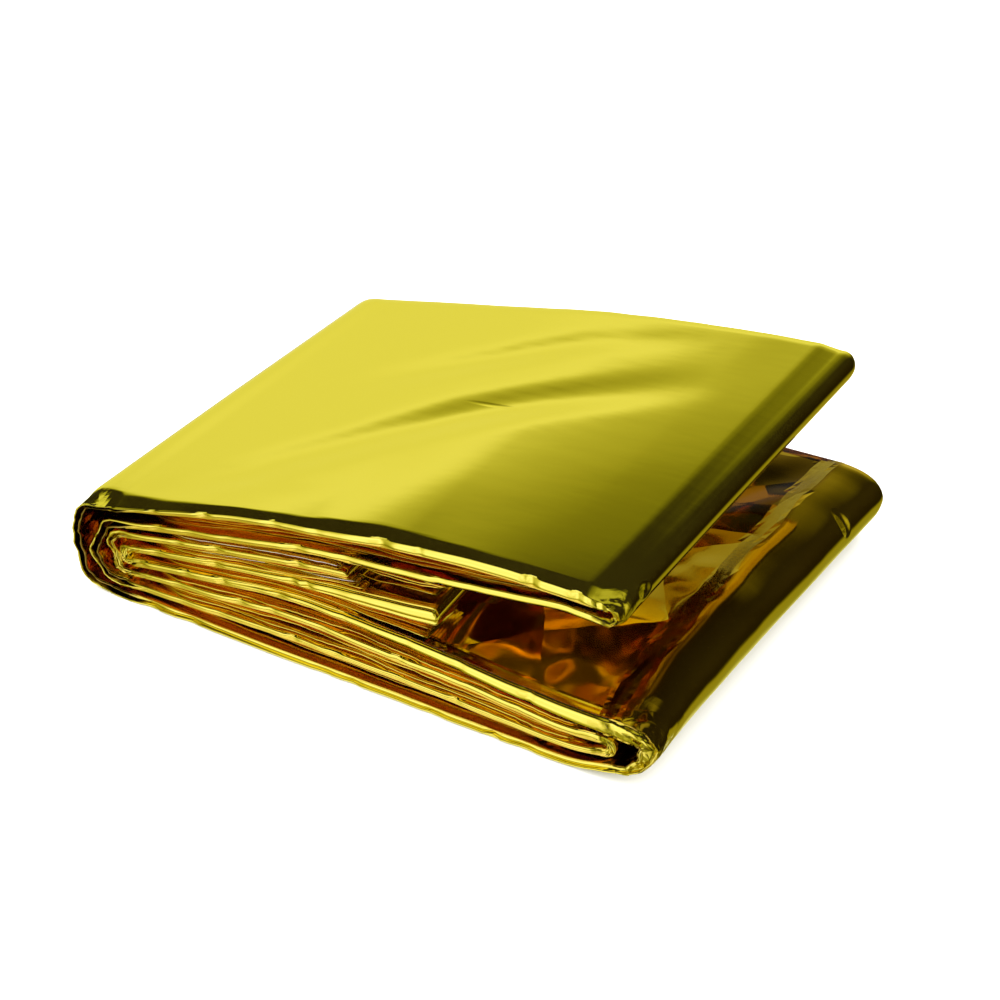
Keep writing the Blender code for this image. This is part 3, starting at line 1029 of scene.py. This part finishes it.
@dataclass
class PlyFan:
    """The single plies that show in the grooves between the panels.

    Attributes:
        strip: The strip's mid-line.
        reach: How far a ply goes in from its edge.
        step: Length of one division along it.
        edge_steps: Points round its folded edge.
    """

    strip: Strip = field(default_factory=Strip)
    reach: float = 9.0
    step: float = 1.3
    edge_steps: int = 5

    def level_at(self, ply: Ply, x: np.ndarray, cross: np.ndarray, seed: int) -> np.ndarray:
        """Height of a ply.

        Args:
            ply: The ply.
            x: Places along the packet.
            cross: Places across it.
            seed: Picks its own unevenness.

        Returns:
            The height at each place.
        """
        upper = PANELS[ply.above]
        lower = PANELS[ply.below]
        ceiling = self.strip.height(upper, x, cross) - self.half_thickness(upper, x)
        floor = self.strip.height(lower, x, cross) + self.half_thickness(lower, x)
        level = ply.level + 0.07 * ripple(x, x * 0, 22.0, seed)
        slack = np.maximum(ceiling - floor, 0.1)
        return floor + slack * np.clip(level, 0.05, 0.95)

    def half_thickness(self, panel: Panel, x: np.ndarray) -> np.ndarray:
        """Half a panel's thickness at places along it."""
        share = (x - panel.spine) / (panel.mouth_front - panel.spine)
        return panel.thickness(np.clip(share, 0, 1)) / 2

    def ply_points(self, ply: Ply, seed: int, side: int) -> np.ndarray:
        """Closed ring of points round a ply at each step along it.

        Args:
            ply: The ply.
            seed: Picks its own unevenness.
            side: -1 for the front rim, 1 for the back.

        Returns:
            Points over step, ring and axis.
        """
        steps = max(round((ply.end - ply.start) / self.step), 4)
        x = np.linspace(ply.start, ply.end, steps + 1)
        ends = ease(0.0, 5.0, x - ply.start) * ease(0.0, 1.2, ply.end - x + 0.15)
        recess = ply.recess + 0.35 * ripple(x, x * 0, 18.0, seed + 50) + 0.10 * ripple(x, x * 0, 4.0, seed + 70)
        recess = recess + (1 - ease(0.0, 8.0, x - ply.start)) * 1.5
        half = self.strip.depth / 2
        edge = side * (half - 0.6 - recess)
        thick = ply.thick * (0.75 + 0.25 * ripple(x, x * 0, 15.0, seed + 90)) * (0.15 + 0.85 * ends)
        ring = []
        for step in range(self.edge_steps):
            angle = math.pi * step / (self.edge_steps - 1)
            y = edge + side * 0.55 * thick * math.sin(angle)
            z = self.level_at(ply, x, edge / half, seed) + thick / 2 * math.cos(angle)
            ring.append(np.stack([x, y, z], axis=-1))
        for share in (0.35, 1.0):
            y = edge - side * self.reach * share
            z = self.level_at(ply, x, y / half, seed)
            ring.append(np.stack([x, y, z - thick * mix(0.5, 0.1, share)], axis=-1))
        for share in (1.0, 0.35):
            y = edge - side * self.reach * share
            z = self.level_at(ply, x, y / half, seed)
            ring.append(np.stack([x, y, z + thick * mix(0.5, 0.1, share)], axis=-1))
        points = np.array(ring).transpose(1, 0, 2)
        points[..., 0] += FRAME_SHIFT
        return points if side < 0 else points[:, ::-1]

    def build(self) -> bpy.types.Object:
        """Makes one mesh of all the plies.

        Returns:
            The object.
        """
        points, faces, silver = [], [], []
        base = 0
        for seed, ply in enumerate(PLIES):
            for side in (-1, 1):
                ring = self.ply_points(ply, seed + 100 * (side > 0), side)
                rings, around, _ = ring.shape
                corner = base + np.arange(rings * around).reshape(rings, around)
                following = np.roll(corner, -1, axis=1)
                quads = np.stack([corner[:-1], corner[1:], following[1:], following[:-1]], axis=-1)
                faces += [tuple(quad) for quad in quads.reshape(-1, 4).tolist()]
                faces.append(tuple(corner[0].tolist()))
                faces.append(tuple(corner[-1][::-1].tolist()))
                points.append(ring.reshape(-1, 3))
                silver.append(np.full(rings * around, ply.silver))
                base += rings * around
        mesh = bpy.data.meshes.new("foil_plies")
        mesh.from_pydata((np.concatenate(points) * MM).tolist(), [], faces)
        values = np.concatenate(silver).astype(np.float32)
        # Plies get a fixed share of painted reflection tint and no painted shade
        for name, number in (("amber", 0.45), ("rim", 1.0), ("crumple", 0.0), ("crinkle", 0.0), ("shade", 0.0)):
            layer = mesh.attributes.new(name, "FLOAT", "POINT")
            layer.data.foreach_set("value", np.full(len(values), number, np.float32))
        layer = mesh.attributes.new("silver", "FLOAT", "POINT")
        layer.data.foreach_set("value", values)
        mesh.update()
        mesh.shade_smooth()
        plies = bpy.data.objects.new("foil_plies", mesh)
        bpy.context.scene.collection.objects.link(plies)
        return plies


class Value:
    """A number's or colour's socket in a node tree, with arithmetic."""

    def __init__(self, graph: "Graph", socket: bpy.types.NodeSocket) -> None:
        """Wraps a socket.

        Args:
            graph: The graph it belongs to.
            socket: The output socket.
        """
        self.graph = graph
        self.socket = socket

    def _math(self, operation: str, first, second=None, clamp: bool = False) -> "Value":
        """One Math node."""
        inputs = {0: first} if second is None else {0: first, 1: second}
        return self.graph.node("ShaderNodeMath", {"operation": operation, "use_clamp": clamp}, inputs)

    def __add__(self, other) -> "Value":
        """Sum."""
        return self._math("ADD", self, other)

    __radd__ = __add__

    def __sub__(self, other) -> "Value":
        """Difference."""
        return self._math("SUBTRACT", self, other)

    def __rsub__(self, other) -> "Value":
        """Difference the other way round."""
        return self._math("SUBTRACT", other, self)

    def __mul__(self, other) -> "Value":
        """Product."""
        return self._math("MULTIPLY", self, other)

    __rmul__ = __mul__

    def power(self, exponent: float) -> "Value":
        """This value to a power."""
        return self._math("POWER", self, exponent)

    def clamped(self) -> "Value":
        """This value kept between 0 and 1."""
        return self._math("ADD", self, 0.0, clamp=True)

    def greatest(self, other) -> "Value":
        """The greater of two values."""
        return self._math("MAXIMUM", self, other)


class Graph:
    """A node tree that is being built."""

    def __init__(self, tree: bpy.types.NodeTree) -> None:
        """Starts with an empty tree.

        Args:
            tree: The tree.
        """
        self.tree = tree
        tree.nodes.clear()

    def node(self, kind: str, settings: dict | None = None, inputs: dict | None = None, output=0) -> Value:
        """Adds a node.

        Args:
            kind: Blender's name of the node's type.
            settings: Its properties, set before its sockets.
            inputs: Values or links, by the name or number of the socket.
            output: Name or number of the output that is wanted.

        Returns:
            That output.
        """
        node = self.tree.nodes.new(kind)
        for name, value in (settings or {}).items():
            if name == "stops":
                self._set_stops(node, value)
            else:
                setattr(node, name, value)
        for name, value in (inputs or {}).items():
            if isinstance(value, Value):
                self.tree.links.new(value.socket, node.inputs[name])
            else:
                node.inputs[name].default_value = value
        return Value(self, node.outputs[output]) if len(node.outputs) else Value(self, None)

    @staticmethod
    def _set_stops(node: bpy.types.Node, stops) -> None:
        """Sets a colour ramp's stops.

        Args:
            node: The ramp.
            stops: Rows of place and colour.
        """
        ramp = node.color_ramp
        while len(ramp.elements) < len(stops):
            ramp.elements.new(1.0)
        for element, (place, colour) in zip(ramp.elements, stops):
            element.position = place
            element.color = colour

    def attribute(self, name: str) -> Value:
        """A number stored on the mesh."""
        return self.node("ShaderNodeAttribute", {"attribute_name": name}, output="Fac")

    def step(self, value: Value, low: float, high: float) -> Value:
        """Smooth step of a value from 0 at low to 1 at high.

        Args:
            value: The value.
            low: Where the step starts.
            high: Where it ends.

        Returns:
            The step.
        """
        settings = {"interpolation_type": "SMOOTHSTEP"}
        inputs = {"Value": value, "From Min": low, "From Max": high, "To Min": 0.0, "To Max": 1.0}
        return self.node("ShaderNodeMapRange", settings, inputs)

    def blend(self, factor, first, second) -> Value:
        """Mix of two colours.

        Args:
            factor: Share of the second colour.
            first: The first colour.
            second: The second colour.

        Returns:
            The mixed colour.
        """
        inputs = {"Factor": factor, 6: first, 7: second}
        return self.node("ShaderNodeMix", {"data_type": "RGBA"}, inputs, output=2)


@dataclass(frozen=True)
class FoilFinish:
    """Gold metallised film.

    Attributes:
        gold: Colour of one reflection on the outside.
        amber: Painted reflection tint in the folds, standing in for light bounced several times between the film.
        orange: Inside the open mouth, where the light is reflected several times.
        painted_shade: Painted shade, down in the hollows of the rims and inside the mouth.
        silver: The film's uncoloured side.
        roughness: Of the smooth film.
    """

    gold: tuple[float, float, float, float] = (0.80, 0.70, 0.075, 1.0)
    # Painted reflection tint for faces inside the folds
    amber: tuple[float, float, float, float] = (0.84, 0.50, 0.02, 1.0)
    orange: tuple[float, float, float, float] = (0.97, 0.70, 0.03, 1.0)
    # Painted shade colour for the rims' hollows and the inside of the mouth
    painted_shade: tuple[float, float, float, float] = (0.16, 0.07, 0.008, 1.0)
    silver: tuple[float, float, float, float] = (0.66, 0.66, 0.58, 1.0)
    roughness: float = 0.075

    def build(self) -> bpy.types.Material:
        """Makes the material.

        Returns:
            The material.
        """
        material = bpy.data.materials.new("gold_foil_finish")
        material.use_nodes = True
        graph = Graph(material.node_tree)
        place = graph.node("ShaderNodeTexCoord", output="Object")
        # Painted reflection tint inside the folds, from the mesh's bounce mask
        colour = graph.blend(graph.attribute("amber").clamped(), self.gold, self.amber)
        # Painted orange reflection inside the mouth, standing in for light bounced several times
        colour = graph.blend(graph.attribute("crinkle").clamped(), colour, self.orange)
        colour = graph.blend(graph.attribute("silver").clamped(), colour, self.silver)
        # Painted shade in the rims' hollows and inside the mouth
        colour = graph.blend(graph.attribute("shade").clamped(), colour, self.painted_shade)
        cloud = graph.node("ShaderNodeTexNoise", inputs={"Vector": place, "Scale": 60.0, "Detail": 3.0})
        normal = self.relief(graph, place)
        shader = graph.node(
            "ShaderNodeBsdfPrincipled",
            inputs={
                "Base Color": colour,
                "Metallic": 1.0,
                "Specular Tint": (1.0, 0.96, 0.48, 1.0),
                "Roughness": cloud * 0.03 + self.roughness,
                "Coat Weight": 0.12,
                "Coat Roughness": 0.04,
                "Normal": normal,
            },
        )
        graph.node("ShaderNodeOutputMaterial", inputs={"Surface": shader})
        return material

    def relief(self, graph: Graph, place: Value) -> Value:
        """Fine relief: wrinkles of the film, crumpled corners and the plies at the rims.

        Args:
            graph: The material's graph.
            place: Object coordinates.

        Returns:
            The normal.
        """
        warp = graph.node("ShaderNodeTexNoise", inputs={"Vector": place, "Scale": 70.0, "Detail": 1.0}, output="Color")
        bent = graph.node("ShaderNodeVectorMath", {"operation": "SCALE"}, {0: warp, "Scale": 0.0045})
        moved = graph.node("ShaderNodeVectorMath", {"operation": "ADD"}, {0: place, 1: bent})
        cells = self.pleats(graph, moved, 2.3)
        wide = self.pleats(graph, moved, 21.0)
        soft = graph.node("ShaderNodeTexNoise", inputs={"Vector": place, "Scale": 45.0, "Detail": 1.0})
        crumple = graph.attribute("crumple") * cells * 0.13
        crinkle = graph.attribute("crinkle") * (wide * 0.09 + soft * 0.0005)
        long_place = graph.node("ShaderNodeVectorMath", {"operation": "MULTIPLY"}, {0: place, 1: (0.3, 1.0, 1.0)})
        drawn = graph.node("ShaderNodeTexNoise", inputs={"Vector": long_place, "Scale": 260.0, "Detail": 2.0})
        body = soft * 0.00008 + drawn * 0.000014 + self.dimples(graph, place)
        total = crumple + crinkle + body
        inputs = {"Strength": 1.0, "Distance": 1.0, "Height": total}
        return graph.node("ShaderNodeBump", inputs=inputs)


    def pleats(self, graph: Graph, place: Value, length: float) -> Value:
        """Flat facets between straight creases, from folds that cross each other.

        Args:
            graph: The material's graph.
            place: Coordinates, in metres.
            length: Typical distance between creases, in millimetres.

        Returns:
            The height in metres, for slopes of about one.
        """
        total = None
        for (x, y, z), share in PLEATS:
            along = graph.node("ShaderNodeVectorMath", {"operation": "DOT_PRODUCT"}, {0: place, 1: (x, y, z)}, "Value")
            fold = graph.node("ShaderNodeMath", {"operation": "PINGPONG"}, {0: along, 1: length * share * MM})
            total = fold if total is None else total + fold
        return total

    def dimples(self, graph: Graph, place: Value) -> Value:
        """Small round dents.

        Args:
            graph: The material's graph.
            place: Object coordinates.

        Returns:
            The height in metres.
        """
        total = None
        for middle, radii, depth in DIMPLES:
            centre = tuple(value * MM for value in middle)
            size = tuple(value * MM for value in radii)
            off = graph.node("ShaderNodeVectorMath", {"operation": "SUBTRACT"}, {0: place, 1: centre})
            off = graph.node("ShaderNodeVectorMath", {"operation": "DIVIDE"}, {0: off, 1: size})
            away = graph.node("ShaderNodeVectorMath", {"operation": "LENGTH"}, {0: off}, "Value")
            dent = (1.0 - graph.step(away, 0.0, 1.0)) * (-depth * MM)
            total = dent if total is None else total + dent
        return total


# Direction of each set of creases and its spacing, as a share of the typical one
PLEATS = (
    ((0.83, 0.45, 0.33), 1.0),
    ((-0.35, 0.88, 0.32), 1.45),
    ((0.52, -0.60, 0.61), 0.80),
    ((0.10, 0.62, -0.78), 1.2),
)

# Middle in the frame, half sizes and depth of each small dent
DIMPLES = (
    ((64.2, 31.6, 11.8), (4.0, 2.2, 3.8), 1.00),
    ((56.9, -41.2, 37.2), (1.3, 2.6, 2.6), 0.80),
    ((-0.4, 2.8, 35.4), (8.0, 0.9, 3.0), 0.05),
)


@dataclass
class Studio:
    """Floor, light and camera.

    Attributes:
        floor_half: Half the side of the floor, in metres.
        azimuth: Camera's direction round the packet from its front, in degrees.
        elevation: Camera's height over the floor, in degrees.
        distance: Camera to the point it looks at.
        target: That point in the frame.
        lens: Focal length, for a sensor of 36 mm.
    """

    floor_half: float = 8.0
    azimuth: float = 30.8
    elevation: float = 32.4
    distance: float = 411.6
    target: tuple[float, float, float] = (-0.55, 7.0, 10.0)
    lens: float = 72.05

    def camera(self) -> None:
        """Makes the camera at the photograph's angle."""
        turn = math.radians(self.azimuth)
        tilt = math.radians(self.elevation)
        back = (math.sin(turn) * math.cos(tilt), -math.cos(turn) * math.cos(tilt), math.sin(tilt))
        data = bpy.data.cameras.new("camera")
        data.lens = self.lens
        data.sensor_width = 36.0
        data.clip_start = 0.01
        data.clip_end = 50.0
        camera = bpy.data.objects.new("camera", data)
        camera.location = [(t + b * self.distance) * MM for t, b in zip(self.target, back)]
        camera.rotation_euler = (math.pi / 2 - tilt, 0.0, turn)
        bpy.context.scene.collection.objects.link(camera)
        bpy.context.scene.camera = camera

    def floor(self) -> bpy.types.Object:
        """Makes the pale floor.

        Returns:
            The floor.
        """
        half = self.floor_half
        mesh = bpy.data.meshes.new("floor")
        corners = [(-half, -half, 0.0), (half, -half, 0.0), (half, half, 0.0), (-half, half, 0.0)]
        mesh.from_pydata(corners, [], [(0, 1, 2, 3)])
        material = bpy.data.materials.new("studio_floor")
        material.use_nodes = True
        shader = material.node_tree.nodes["Principled BSDF"]
        shader.inputs["Base Color"].default_value = (0.93, 0.93, 0.93, 1.0)
        shader.inputs["Roughness"].default_value = 1.0
        shader.inputs["Specular IOR Level"].default_value = 0.0
        mesh.materials.append(material)
        floor = bpy.data.objects.new("floor", mesh)
        floor.visible_glossy = False
        bpy.context.scene.collection.objects.link(floor)
        return floor

    def world(self) -> None:
        """Makes the soft surroundings that the film reflects."""
        world = bpy.data.worlds.new("studio")
        world.use_nodes = True
        graph = Graph(world.node_tree)
        direction = graph.node("ShaderNodeTexCoord", output="Generated")
        x = graph.node("ShaderNodeSeparateXYZ", inputs={0: direction}, output=0)
        y = graph.node("ShaderNodeSeparateXYZ", inputs={0: direction}, output=1)
        z = graph.node("ShaderNodeSeparateXYZ", inputs={0: direction}, output=2)
        # The right side and the top of the room are dark, and the left side and the floor are bright
        left = graph.step(x * -0.94 + y * 0.34, -0.08, 0.52)
        front_left = graph.step(x * -1.0, -0.30, 0.22)
        right_back = graph.step(x * 0.7 + y, -0.08, 0.16)
        box = (1.0 - graph.step(z, 0.33, 0.43)) * 0.44
        glow = ((1.0 - graph.step(z, 0.40, 0.55)) * 0.34 + (1.0 - graph.step(z, 0.52, 0.69)) * 0.20) * right_back
        low_glow = (1.0 - graph.step(z, 0.20, 0.34)) * 0.5 * (1.0 - right_back)
        low_front = 1.0 - graph.step(z, 0.24, 0.50)
        streaks = graph.node("ShaderNodeTexNoise", inputs={"Vector": direction, "Scale": 3.0, "Detail": 2.0})
        dip = graph.step(z, 0.22, 0.35) * 0.09 + 0.91
        behind = left * (1.0 - graph.step(y * -1.0, -0.25, 0.30)) * (box + glow + low_glow) * dip
        far_left = 1.0 - graph.step(x * -1.0, 0.48, 0.75) * 0.5
        before = front_left * far_left * graph.step(y * -1.0, 0.0, 0.72) * low_front * (streaks * 1.8 + 0.45)
        window = graph.step(x, 0.15, 0.55) * graph.step(y * -1.0, -0.35, 0.40)
        window = window * (1.0 - graph.step(z, 0.30, 0.62)) * (streaks * 0.9 + 0.15)
        overhead = graph.step(x, -0.30, 0.15) * graph.step(z, 0.80, 0.94) * 0.5
        table = (1.0 - graph.step(z, -0.50, -0.30)) * (1.0 - graph.step(x, 0.42, 0.82)) * 0.30
        steep = (1.0 - graph.step(z, -0.64, -0.56)) * (1.0 - graph.step(x, -0.25, 0.05)) * 0.30
        reflected = behind.greatest((table + steep) * graph.step(y, 0.1, 0.5)) + before + window + overhead
        warm = graph.node(
            "ShaderNodeCombineColor",
            inputs={0: reflected + 0.016, 1: reflected + 0.011, 2: reflected.power(2.4) + 0.004},
        )
        path = graph.node("ShaderNodeLightPath", output="Is Glossy Ray")
        colour = graph.blend(path, (2.6, 2.6, 2.6, 1.0), warm)
        background = graph.node("ShaderNodeBackground", inputs={"Color": colour, "Strength": 1.0})
        graph.node("ShaderNodeOutputWorld", inputs={"Surface": background})
        bpy.context.scene.world = world

    def build(self) -> None:
        """Sets up the whole studio."""
        self.camera()
        self.world()
        self.floor()
        scene = bpy.context.scene
        scene.view_settings.view_transform = "Standard"
        scene.cycles.max_bounces = 14
        scene.cycles.glossy_bounces = 12


def main() -> None:
    """Builds the blanket and the studio round it."""
    logging.basicConfig(level=logging.INFO, format="%(name)s: %(message)s")
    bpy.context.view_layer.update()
    finish = FoilFinish().build()
    maker = FoilSheet()
    sheet = maker.build()
    sheet.data.materials.append(finish)
    plies = PlyFan().build()
    plies.data.materials.append(finish)
    for piece in (sheet, plies):
        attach(piece, "root")
        LOG.info("%s: %d faces", piece.name, len(piece.data.polygons))
    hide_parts("foil_blanket")
    Studio().build()


if __name__ == "__main__":
    main()
